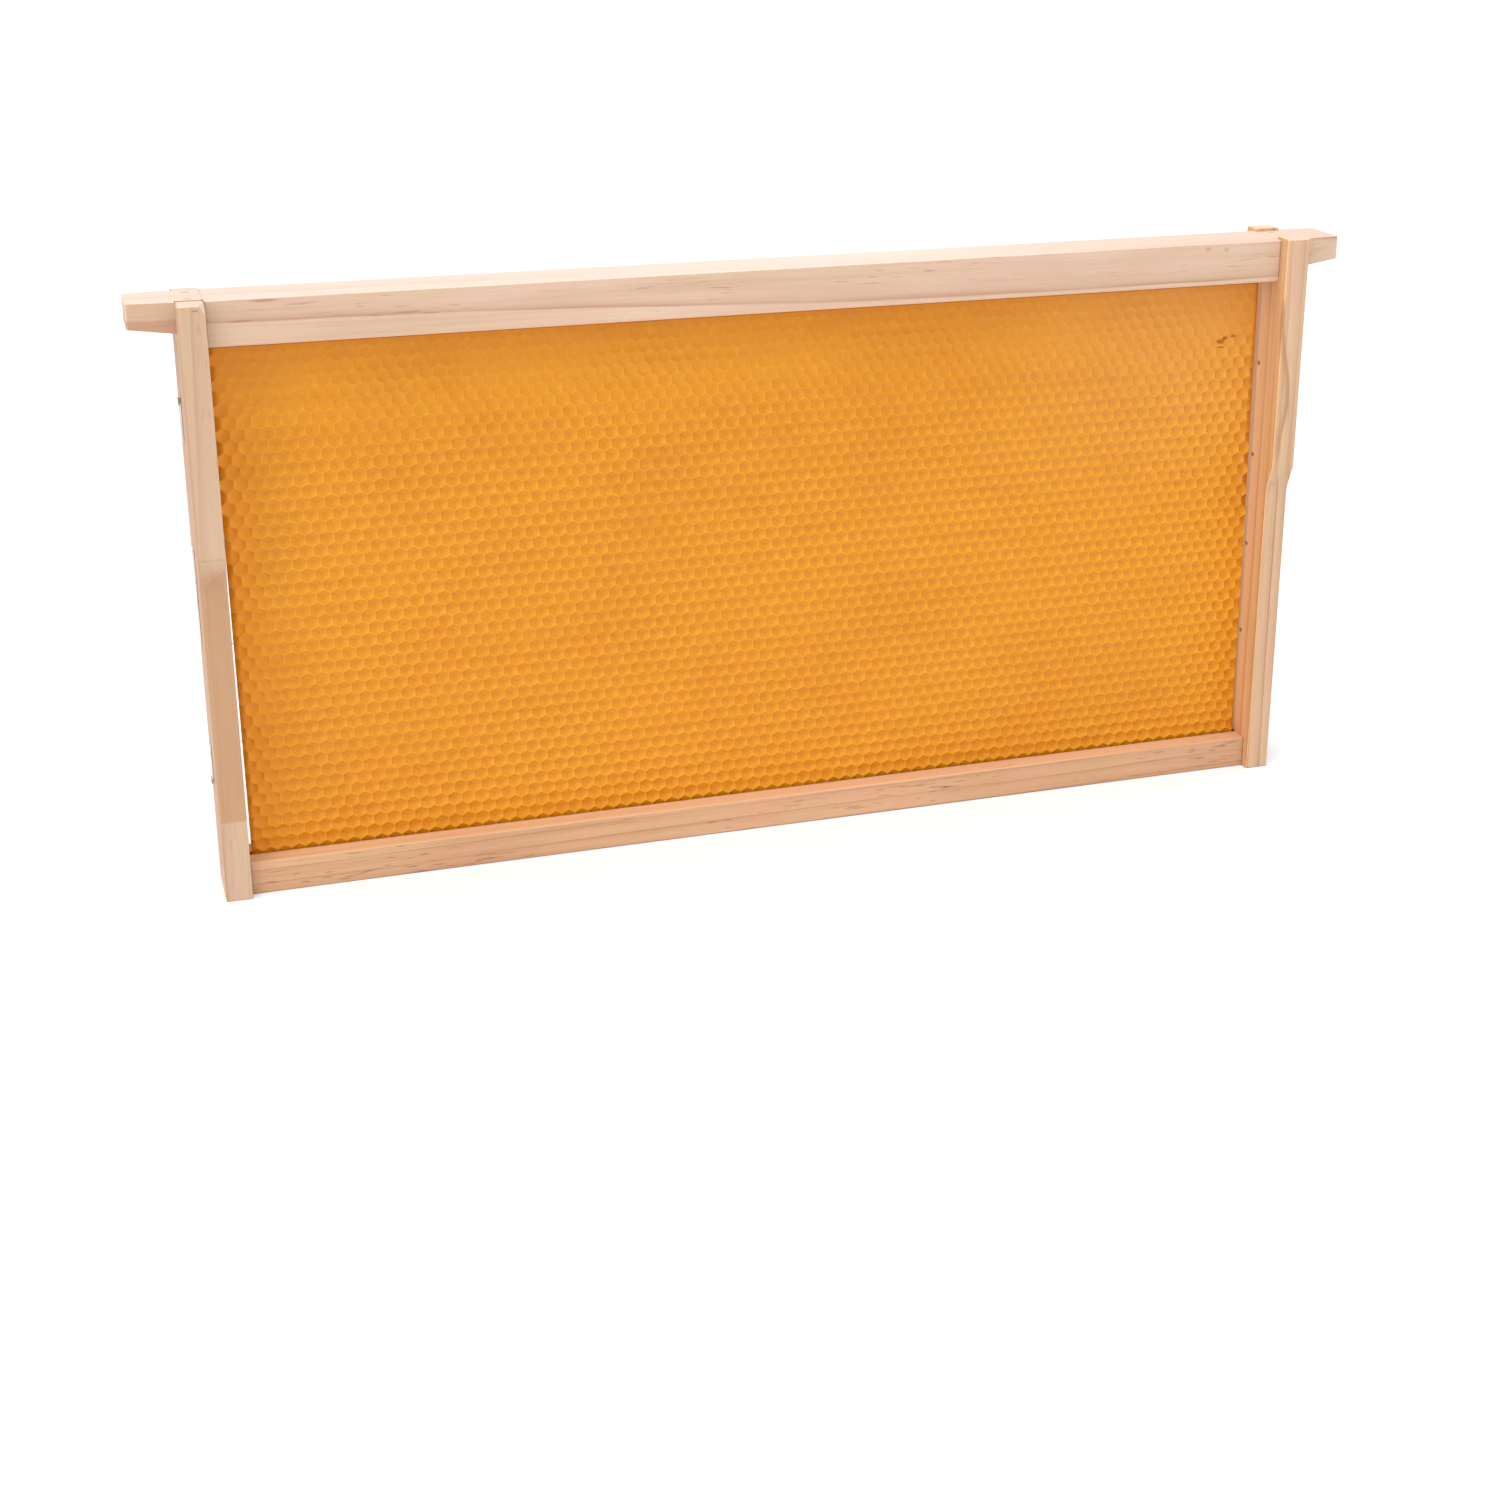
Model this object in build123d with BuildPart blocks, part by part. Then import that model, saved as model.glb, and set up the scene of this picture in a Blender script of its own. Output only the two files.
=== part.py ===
"""Langstroth deep hive frame: four wooden bars, a wired sheet of wax foundation, nails and tacks.

X runs along the frame, Y through its thickness and Z up. The origin is on the ground under its middle.
"""

import os

from build123d import *

# Driving dimensions, in millimetres.
FRAME_LENGTH = 482.0  # over both lugs
FRAME_HEIGHT = 232.0  # from the underside of the bottom bar to the top of the top bar
BODY_LENGTH = 448.0  # over the outer faces of the end bars
END_BAR_THICKNESS = 10.0

TOP_BAR_WIDTH = 24.0
TOP_BAR_THICKNESS = 17.0
TENON_WIDTH = 18.0  # what is left of the top bar between the ears of an end bar
LUG_ROOT_THICKNESS = 11.2  # beside the end bar
LUG_TIP_THICKNESS = 9.1
LUG_TIP_WIDTH = 21.0
LUG_CORNER_RADIUS = 1.0

SHOULDER_WIDTH = 35.0  # the wide upper part, which spaces one frame from the next
SHOULDER_BOTTOM = 137.0  # height at which the wide part starts to narrow
WAIST_TOP = 127.0  # height at which it has become the waist
WAIST_WIDTH = 27.0  # the narrow lower part, which bees walk round
SHOULDER_BLEND_RADIUS = 7.0
LEFT_EAR_RISE = -0.4  # ear tops above the top bar
RIGHT_EAR_RISE = 1.2
EAR_TOP_RADIUS = 1.0  # the worn outer edge of each ear's top
CHIP_REACH = (2.4, 4.0, 4.1)  # the corner that the front left ear has lost: its length along X, Y and Z

BOTTOM_BAR_WIDTH = 19.0
BOTTOM_BAR_THICKNESS = 13.0

SHEET_THICKNESS = 3.0  # over the tips of the embossed cell walls
SHEET_GAP_UPPER_LEFT = 0.8  # the sheet is cut by hand, so its ends stop short of the end bars unevenly
SHEET_GAP_LOWER_LEFT = 1.8
SHEET_GAP_UPPER_RIGHT = 3.2
SHEET_GAP_LOWER_RIGHT = 1.2
SHEET_TOP_GAP = 1.0  # between the sheet's upper edge and the floor of its groove
GROOVE_WIDTH = 3.3
TOP_GROOVE_DEPTH = 5.0
BOTTOM_GROOVE_DEPTH = 4.0

WIRE_DIAMETER = 0.5
WIRE_RUNS = 4
LOWEST_WIRE_HEIGHT = 60.0
WIRE_SPACING = 39.5
WIRE_HOLE_DIAMETER = 2.0
WIRE_BEND_RADIUS = 1.0
WIRE_CHANNEL_DIAMETER = 0.6  # the wax has flowed round the wire
WIRE_STAND_OFF = 0.3  # from the wood, or from a tack's shank, to the middle of the wire
WIRE_TURN = 270.0  # degrees that each end goes round its tack

NAIL_DIAMETER = 1.6
NAIL_HEAD_DIAMETER = 3.0
NAIL_HEAD_THICKNESS = 0.6
NAIL_CLEARANCE = 0.05  # all round a shank or a head
POINT_RATIO = 1.5  # a point's length over its shank's diameter
POINT_TAPER = 15.0  # degrees
TOP_NAIL_LENGTH = 32.0
TOP_NAIL_SPACING = 12.0
SIDE_NAIL_LENGTH = 26.0
SIDE_NAIL_HEIGHT = 218.0
SIDE_NAIL_OFFSET = 3.6  # from the middle, clear of the sheet's groove and of the top nails
BOTTOM_NAIL_LENGTH = 25.0
BOTTOM_NAIL_SPACING = 11.0

TACK_DIAMETER = 1.2
TACK_HEAD_DIAMETER = 3.2
TACK_HEAD_THICKNESS = 0.5
TACK_LENGTH = 8.5
TACK_DISTANCE = 15.0  # from the nearest wire hole

EDGE_RADIUS = 0.5  # sanded long edges
LOWER_EDGE_CHAMFER = 0.9  # the top bar's lower long edges

LEFT = -1
RIGHT = 1

# Places that follow from them.
OUTER_FACE = BODY_LENGTH / 2
INNER_FACE = OUTER_FACE - END_BAR_THICKNESS
END_BAR_MIDDLE = (OUTER_FACE + INNER_FACE) / 2
TOP_BAR_UNDERSIDE = FRAME_HEIGHT - TOP_BAR_THICKNESS
SEAT_HEIGHT = FRAME_HEIGHT - LUG_ROOT_THICKNESS
SHEET_BOTTOM = BOTTOM_BAR_THICKNESS - BOTTOM_GROOVE_DEPTH
SHEET_TOP = TOP_BAR_UNDERSIDE + TOP_GROOVE_DEPTH - SHEET_TOP_GAP
WIRE_HEIGHTS = [LOWEST_WIRE_HEIGHT + run * WIRE_SPACING for run in range(WIRE_RUNS)]
WIRE_PLANE = OUTER_FACE + WIRE_STAND_OFF
WIRE_TURN_RADIUS = TACK_DIAMETER / 2 + WIRE_STAND_OFF
LOWER_TACK_HEIGHT = WIRE_HEIGHTS[0] - TACK_DISTANCE
UPPER_TACK_HEIGHT = WIRE_HEIGHTS[-1] + TACK_DISTANCE
TACK_HEAD_TOP = WIRE_PLANE + WIRE_STAND_OFF + TACK_HEAD_THICKNESS


# ---- Where the nails go: planes on their heads' outer faces that look along their shanks ----
def top_nail_places(side):
    """Two nails down through the top bar into one end bar."""
    offsets = (-TOP_NAIL_SPACING / 2, TOP_NAIL_SPACING / 2)
    return [Plane(origin=(side * END_BAR_MIDDLE, y, FRAME_HEIGHT), z_dir=(0, 0, -1)) for y in offsets]


def bottom_nail_places(side):
    """Two nails up through the bottom bar into one end bar."""
    offsets = (-BOTTOM_NAIL_SPACING / 2, BOTTOM_NAIL_SPACING / 2)
    return [Plane(origin=(side * END_BAR_MIDDLE, y, 0), z_dir=(0, 0, 1)) for y in offsets]


def side_nail_places(side):
    """One nail through the end bar into the end grain of the top bar."""
    entry = (side * OUTER_FACE, side * SIDE_NAIL_OFFSET, SIDE_NAIL_HEIGHT)
    return [Plane(origin=entry, z_dir=(-side, 0, 0))]


def tack_place(height):
    """One tack in the outer face of the left end bar, with the wire under its head."""
    return Plane(origin=(-TACK_HEAD_TOP, WIRE_TURN_RADIUS, height), z_dir=(1, 0, 0))


TACK_PLACES = [tack_place(LOWER_TACK_HEIGHT), tack_place(UPPER_TACK_HEIGHT)]


def circles(places, diameter):
    """Equal circles on a list of planes."""
    with BuildSketch(*places) as sketch:
        Circle(diameter / 2)
    return sketch.sketch


def cut_nail_holes(places, length, recess=True):
    """Bores the part in hand for a row of nails, with a recess where a head sinks into it."""
    holes = circles(places, NAIL_DIAMETER + 2 * NAIL_CLEARANCE)
    extrude(holes, amount=length, mode=Mode.SUBTRACT)
    if recess:
        recesses = circles(places, NAIL_HEAD_DIAMETER + 2 * NAIL_CLEARANCE)
        extrude(recesses, amount=NAIL_HEAD_THICKNESS, mode=Mode.SUBTRACT)


# ---- Top bar: thick between the end bars, thin where it crosses them, with tapered lugs ----
with BuildPart() as top_bar:
    with BuildSketch(Plane.XZ):
        with BuildLine():
            Polyline(
                (0, FRAME_HEIGHT),
                (FRAME_LENGTH / 2, FRAME_HEIGHT),
                (FRAME_LENGTH / 2, FRAME_HEIGHT - LUG_TIP_THICKNESS),
                (OUTER_FACE, SEAT_HEIGHT),
                (INNER_FACE, SEAT_HEIGHT),
                (INNER_FACE, TOP_BAR_UNDERSIDE),
                (0, TOP_BAR_UNDERSIDE),
                close=True,
            )
        make_face()
        mirror(about=Plane.YZ)
    extrude(amount=TOP_BAR_WIDTH / 2, both=True)
    with BuildSketch(Plane.XY.offset(TOP_BAR_UNDERSIDE)):
        with BuildLine():
            Polyline(
                (0, 0),
                (0, TOP_BAR_WIDTH / 2),
                (INNER_FACE, TOP_BAR_WIDTH / 2),
                (INNER_FACE, TENON_WIDTH / 2),
                (OUTER_FACE, TENON_WIDTH / 2),
                (OUTER_FACE, TOP_BAR_WIDTH / 2),
                (FRAME_LENGTH / 2, LUG_TIP_WIDTH / 2),
                (FRAME_LENGTH / 2, 0),
                close=True,
            )
        make_face()
        mirror(about=Plane.XZ)
        mirror(about=Plane.YZ)
    extrude(amount=TOP_BAR_THICKNESS, mode=Mode.INTERSECT)
    upright_edges = top_bar.edges().filter_by(Axis.Z).group_by(Axis.X)
    fillet(upright_edges[0] + upright_edges[-1], LUG_CORNER_RADIUS)
    long_edges = top_bar.edges().filter_by(Axis.X).filter_by(lambda edge: edge.length > OUTER_FACE)
    fillet(long_edges.group_by(Axis.Z)[-1], EDGE_RADIUS)
    chamfer(long_edges.group_by(Axis.Z)[0], LOWER_EDGE_CHAMFER)
    with BuildSketch(Plane.XY.offset(TOP_BAR_UNDERSIDE)):
        Rectangle(2 * INNER_FACE, GROOVE_WIDTH)
    extrude(amount=TOP_GROOVE_DEPTH, mode=Mode.SUBTRACT)
    for side in (LEFT, RIGHT):
        cut_nail_holes(top_nail_places(side), TOP_NAIL_LENGTH)
        cut_nail_holes(side_nail_places(side), SIDE_NAIL_LENGTH, recess=False)


# ---- End bars: ears that clasp the top bar, wide shoulders, a waist, and a slot for the bottom bar ----
def chip_plane(ear_top):
    """The plane that cuts off the front left ear's inner top corner, facing away from the wood that stays."""
    reach_x, reach_y, reach_z = CHIP_REACH
    outward = (1 / reach_x, -1 / reach_y, 1 / reach_z)
    return Plane(origin=(-INNER_FACE - reach_x, -SHOULDER_WIDTH / 2, ear_top), z_dir=outward)


def make_end_bar(side, ear_rise):
    """One end bar, from a plank whose faces look along X."""
    ear_top = FRAME_HEIGHT + ear_rise
    with BuildPart() as end_bar:
        with BuildSketch(Plane.YZ.offset(side * END_BAR_MIDDLE)) as end_view:
            with BuildLine():
                Polyline(
                    (0, BOTTOM_BAR_THICKNESS),
                    (BOTTOM_BAR_WIDTH / 2, BOTTOM_BAR_THICKNESS),
                    (BOTTOM_BAR_WIDTH / 2, 0),
                    (WAIST_WIDTH / 2, 0),
                    (WAIST_WIDTH / 2, WAIST_TOP),
                    (SHOULDER_WIDTH / 2, SHOULDER_BOTTOM),
                    (SHOULDER_WIDTH / 2, ear_top),
                    (TENON_WIDTH / 2, ear_top),
                    (TENON_WIDTH / 2, SEAT_HEIGHT),
                    (0, SEAT_HEIGHT),
                    close=True,
                )
            make_face()
            shoulder_corners = end_view.vertices().filter_by_position(Axis.Y, WAIST_TOP, SHOULDER_BOTTOM)
            fillet(shoulder_corners, SHOULDER_BLEND_RADIUS)
            mirror(about=Plane.YZ)
        extrude(amount=END_BAR_THICKNESS / 2, both=True)
        ear_top_edges = end_bar.edges().filter_by(Axis.X).group_by(Axis.Z)[-1].group_by(Axis.Y)
        fillet(ear_top_edges[0] + ear_top_edges[-1], EAR_TOP_RADIUS)
        upright_edges = end_bar.edges().filter_by(Axis.Z)
        fillet(upright_edges.filter_by(lambda edge: edge.length > SHOULDER_WIDTH), EDGE_RADIUS)
        with BuildSketch(Plane.YZ.offset(side * END_BAR_MIDDLE)):
            with Locations(*[(0, height) for height in WIRE_HEIGHTS]):
                Circle(WIRE_HOLE_DIAMETER / 2)
        extrude(amount=END_BAR_THICKNESS, both=True, mode=Mode.SUBTRACT)
        cut_nail_holes(top_nail_places(side), TOP_NAIL_LENGTH)
        cut_nail_holes(bottom_nail_places(side), BOTTOM_NAIL_LENGTH)
        cut_nail_holes(side_nail_places(side), SIDE_NAIL_LENGTH)
        if side == LEFT:
            tack_holes = circles(TACK_PLACES, TACK_DIAMETER + 2 * NAIL_CLEARANCE)
            extrude(tack_holes, amount=TACK_LENGTH, mode=Mode.SUBTRACT)
            split(bisect_by=chip_plane(ear_top), keep=Keep.BOTTOM)
    return end_bar


left_end_bar = make_end_bar(LEFT, LEFT_EAR_RISE)
right_end_bar = make_end_bar(RIGHT, RIGHT_EAR_RISE)


# ---- Bottom bar: a straight batten with a groove for the sheet, held in the slots of the end bars ----
with BuildPart() as bottom_bar:
    with BuildSketch(Plane.XY):
        Rectangle(BODY_LENGTH, BOTTOM_BAR_WIDTH)
    extrude(amount=BOTTOM_BAR_THICKNESS)
    fillet(bottom_bar.edges().filter_by(Axis.X), EDGE_RADIUS)
    with BuildSketch(Plane.XY.offset(BOTTOM_BAR_THICKNESS)):
        Rectangle(BODY_LENGTH, GROOVE_WIDTH)
    extrude(amount=-BOTTOM_GROOVE_DEPTH, mode=Mode.SUBTRACT)
    for side in (LEFT, RIGHT):
        cut_nail_holes(bottom_nail_places(side), BOTTOM_NAIL_LENGTH)


# ---- Foundation: one sheet of wax in both grooves, with the wire runs melted into its middle ----
with BuildPart() as foundation_sheet:
    with BuildSketch(Plane.XZ):
        with BuildLine():
            Polyline(
                (-INNER_FACE + SHEET_GAP_LOWER_LEFT, SHEET_BOTTOM),
                (INNER_FACE - SHEET_GAP_LOWER_RIGHT, SHEET_BOTTOM),
                (INNER_FACE - SHEET_GAP_UPPER_RIGHT, SHEET_TOP),
                (-INNER_FACE + SHEET_GAP_UPPER_LEFT, SHEET_TOP),
                close=True,
            )
        make_face()
    extrude(amount=SHEET_THICKNESS / 2, both=True)
    with BuildSketch(Plane.YZ):
        with Locations(*[(0, height) for height in WIRE_HEIGHTS]):
            Circle(WIRE_CHANNEL_DIAMETER / 2)
    extrude(amount=INNER_FACE, both=True, mode=Mode.SUBTRACT)


# ---- Support wire: one length, threaded to and fro through the end bars and tied off round two tacks ----
def point_round_tack(height, away, angle):
    """A point on the wire's turn round a tack. Angle 0 is where the wire meets it, coming from the holes."""
    offset = Vector(WIRE_TURN_RADIUS, 0).rotate(Axis.Z, 180 - angle)
    return Vector(-WIRE_PLANE, WIRE_TURN_RADIUS + offset.X, height + away * offset.Y)


def wire_corners():
    """The corners of the wire's route between its two tacks, all in the middle plane of the frame."""
    corners = [Vector(-WIRE_PLANE, 0, LOWER_TACK_HEIGHT)]
    side = LEFT
    for height in WIRE_HEIGHTS:
        corners.append(Vector(side * WIRE_PLANE, 0, height))
        side = -side
        corners.append(Vector(side * WIRE_PLANE, 0, height))
    corners.append(Vector(-WIRE_PLANE, 0, UPPER_TACK_HEIGHT))
    return corners


with BuildPart() as support_wire:
    with BuildLine() as route:
        FilletPolyline(*wire_corners(), radius=WIRE_BEND_RADIUS)
        for tack_height, away in ((LOWER_TACK_HEIGHT, -1), (UPPER_TACK_HEIGHT, 1)):
            ThreePointArc(*[point_round_tack(tack_height, away, turn * WIRE_TURN / 2) for turn in range(3)])
    path = route.wires()[0]
    with BuildSketch(Plane(origin=path @ 0, z_dir=path % 0)):
        Circle(WIRE_DIAMETER / 2)
    sweep(path=path)


# ---- Nails and tacks ----
def make_nails(places, length, diameter, head_diameter, head_thickness):
    """A row of equal nails or tacks."""
    point_length = POINT_RATIO * diameter
    with BuildPart() as nails:
        with BuildSketch(*places):
            Circle(head_diameter / 2)
        extrude(amount=head_thickness)
        with BuildSketch(*[place.offset(head_thickness) for place in places]):
            Circle(diameter / 2)
        extrude(amount=length - head_thickness - point_length)
        with BuildSketch(*[place.offset(length - point_length) for place in places]):
            Circle(diameter / 2)
        extrude(amount=point_length, taper=POINT_TAPER)
    return nails


def wood_nails(places, length):
    """Nails of the size that holds the bars together."""
    return make_nails(places, length, NAIL_DIAMETER, NAIL_HEAD_DIAMETER, NAIL_HEAD_THICKNESS)


def wire_tack(place):
    """One tack that ties off an end of the wire."""
    return make_nails([place], TACK_LENGTH, TACK_DIAMETER, TACK_HEAD_DIAMETER, TACK_HEAD_THICKNESS)


pieces = {
    "top_bar": top_bar,
    "bottom_bar": bottom_bar,
    "left_end_bar": left_end_bar,
    "right_end_bar": right_end_bar,
    "foundation_sheet": foundation_sheet,
    "support_wire": support_wire,
    "lower_wire_tack": wire_tack(TACK_PLACES[0]),
    "upper_wire_tack": wire_tack(TACK_PLACES[1]),
}
for side, side_name in ((LEFT, "left"), (RIGHT, "right")):
    pieces[f"{side_name}_top_nails"] = wood_nails(top_nail_places(side), TOP_NAIL_LENGTH)
    pieces[f"{side_name}_side_nail"] = wood_nails(side_nail_places(side), SIDE_NAIL_LENGTH)
    pieces[f"{side_name}_bottom_nails"] = wood_nails(bottom_nail_places(side), BOTTOM_NAIL_LENGTH)

wire_length = path.length
wire_volume = support_wire.part.volume
print(f"wire length {wire_length:.1f} mm, volume {wire_volume:.2f} mm3")

os.makedirs("parts", exist_ok=True)
for name, piece in pieces.items():
    piece.part.label = name
    export_step(piece.part, f"parts/{name}.step")
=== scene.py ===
"""Looks for a wooden hive frame: pine bars, a sheet of embossed beeswax, and steel wire, nails and tacks.

X runs along the frame, Y through its thickness and Z up, in metres. The front faces -Y.
"""

import math
import random

import bmesh
import bpy
from mathutils import Matrix, Vector


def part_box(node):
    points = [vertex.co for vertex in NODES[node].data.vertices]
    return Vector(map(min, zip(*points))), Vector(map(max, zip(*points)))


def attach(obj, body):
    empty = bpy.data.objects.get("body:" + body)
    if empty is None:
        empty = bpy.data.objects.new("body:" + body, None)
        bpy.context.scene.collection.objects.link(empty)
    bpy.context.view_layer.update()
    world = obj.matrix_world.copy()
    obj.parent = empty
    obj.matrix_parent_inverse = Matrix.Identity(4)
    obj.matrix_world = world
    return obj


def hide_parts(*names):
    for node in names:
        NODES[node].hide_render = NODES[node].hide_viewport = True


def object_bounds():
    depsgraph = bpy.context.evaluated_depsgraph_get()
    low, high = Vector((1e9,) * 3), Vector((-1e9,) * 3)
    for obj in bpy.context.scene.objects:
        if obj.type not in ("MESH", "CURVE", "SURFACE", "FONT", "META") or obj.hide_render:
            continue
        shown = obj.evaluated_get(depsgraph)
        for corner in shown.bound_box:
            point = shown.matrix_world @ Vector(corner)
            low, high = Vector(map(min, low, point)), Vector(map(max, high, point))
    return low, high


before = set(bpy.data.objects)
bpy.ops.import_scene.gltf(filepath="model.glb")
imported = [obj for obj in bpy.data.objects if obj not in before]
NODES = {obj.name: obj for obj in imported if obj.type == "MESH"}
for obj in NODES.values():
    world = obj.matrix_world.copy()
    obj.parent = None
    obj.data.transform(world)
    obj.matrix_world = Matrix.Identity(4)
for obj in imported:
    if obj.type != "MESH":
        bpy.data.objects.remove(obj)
CAD_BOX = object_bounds()
MM = 0.001

# Places on the frame, read from its CAD pieces.
BAR_LOW, BAR_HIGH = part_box("top_bar")
LEFT_BAR_LOW, LEFT_BAR_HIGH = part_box("left_end_bar")
SHEET_LOW, SHEET_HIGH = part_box("foundation_sheet")
LEFT_JOINT = LEFT_BAR_HIGH.x
RIGHT_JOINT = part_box("right_end_bar")[0].x
BAR_FRONT = BAR_LOW.y
EAR_FRONT = LEFT_BAR_LOW.y


# ---- Camera, floor and lights ----
def make_camera():
    """The camera stands before the frame's left end, a little above it, and looks down and to the right.

    Its angles are in radians: yaw from +Y towards +X, pitch upwards, and roll about the line of sight.
    """
    position = Vector((-0.2694, -0.8610, 0.3968))
    yaw = 0.3236
    pitch = -0.3409
    roll = 0.0050
    forward = Vector((math.sin(yaw) * math.cos(pitch), math.cos(yaw) * math.cos(pitch), math.sin(pitch)))
    level_right = Vector((math.cos(yaw), -math.sin(yaw), 0))
    level_up = level_right.cross(forward)
    right = level_right * math.cos(roll) + level_up * math.sin(roll)
    up = level_up * math.cos(roll) - level_right * math.sin(roll)
    camera = bpy.data.objects.new("camera", bpy.data.cameras.new("camera"))
    camera.data.sensor_width = 36
    camera.data.lens = 56.45
    camera.data.shift_x = -0.0451
    camera.data.shift_y = -0.0712
    camera.data.clip_start = 0.01
    camera.matrix_world = Matrix.Translation(position) @ Matrix((right, up, -forward)).transposed().to_4x4()
    bpy.context.scene.collection.objects.link(camera)
    bpy.context.scene.camera = camera


def make_softbox(name, position, target, size, power, colour):
    """A square area light that faces a target."""
    light = bpy.data.lights.new(name, "AREA")
    light.shape = "SQUARE"
    light.size = size
    light.energy = power
    light.color = colour
    lamp = bpy.data.objects.new(name, light)
    lamp.location = position
    lamp.rotation_euler = (Vector(target) - Vector(position)).to_track_quat("-Z", "Y").to_euler()
    bpy.context.scene.collection.objects.link(lamp)


def make_overhead_light(direction, strength, breadth):
    """Even light from a broad patch of the ceiling, the same everywhere on the floor."""
    light = bpy.data.lights.new("overhead_light", "SUN")
    light.energy = strength
    light.angle = breadth
    lamp = bpy.data.objects.new("overhead_light", light)
    lamp.rotation_euler = Vector(direction).to_track_quat("-Z", "Y").to_euler()
    bpy.context.scene.collection.objects.link(lamp)


def make_surround(strength):
    """An even white surround that lights the frame softly and looks as white as the floor."""
    white = (1.0, 1.0, 1.0, 1.0)
    world = bpy.data.worlds.new("studio")
    world.use_nodes = True
    tree = world.node_tree
    background = tree.nodes["Background"]
    background.inputs["Color"].default_value = white
    seen = tree.nodes.new("ShaderNodeLightPath")
    brightness = tree.nodes.new("ShaderNodeMath")
    brightness.operation = "MAXIMUM"
    brightness.inputs[1].default_value = strength
    tree.links.new(seen.outputs["Is Camera Ray"], brightness.inputs[0])
    tree.links.new(brightness.outputs[0], background.inputs["Strength"])
    return world


def make_studio():
    """An even pale surround, broad light from above and a softbox on the left."""
    scene = bpy.context.scene
    scene.view_settings.view_transform = "Standard"
    scene.world = make_surround(strength=0.62)
    make_overhead_light(direction=(0.12, 0.20, -1.0), strength=3.0, breadth=math.radians(60))
    make_softbox(
        "left_softbox",
        position=(-3.00, -2.20, 1.60),
        target=(CAD_BOX[0] + CAD_BOX[1]) / 2,
        size=1.8,
        power=34.0,
        colour=(1.0, 0.95, 0.90),
    )


def make_floor():
    """A wide pale floor just under the frame."""
    half = 15.0
    gap = 0.2 * MM
    height = CAD_BOX[0].z - gap
    mesh = bpy.data.meshes.new("floor")
    mesh.from_pydata(
        [(-half, -half, height), (half, -half, height), (half, half, height), (-half, half, height)],
        [],
        [(0, 1, 2, 3)],
    )
    floor = bpy.data.objects.new("floor", mesh)
    bpy.context.scene.collection.objects.link(floor)
    tree = Nodes("studio_floor")
    darker = (0.80, 0.80, 0.83)
    lighter = (0.82, 0.82, 0.85)
    colour = tree.mix(tree.noise(tree.position, 3.0, 2), darker, lighter)
    tree.surface(colour, roughness=0.8)
    mesh.materials.append(tree.material)


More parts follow.
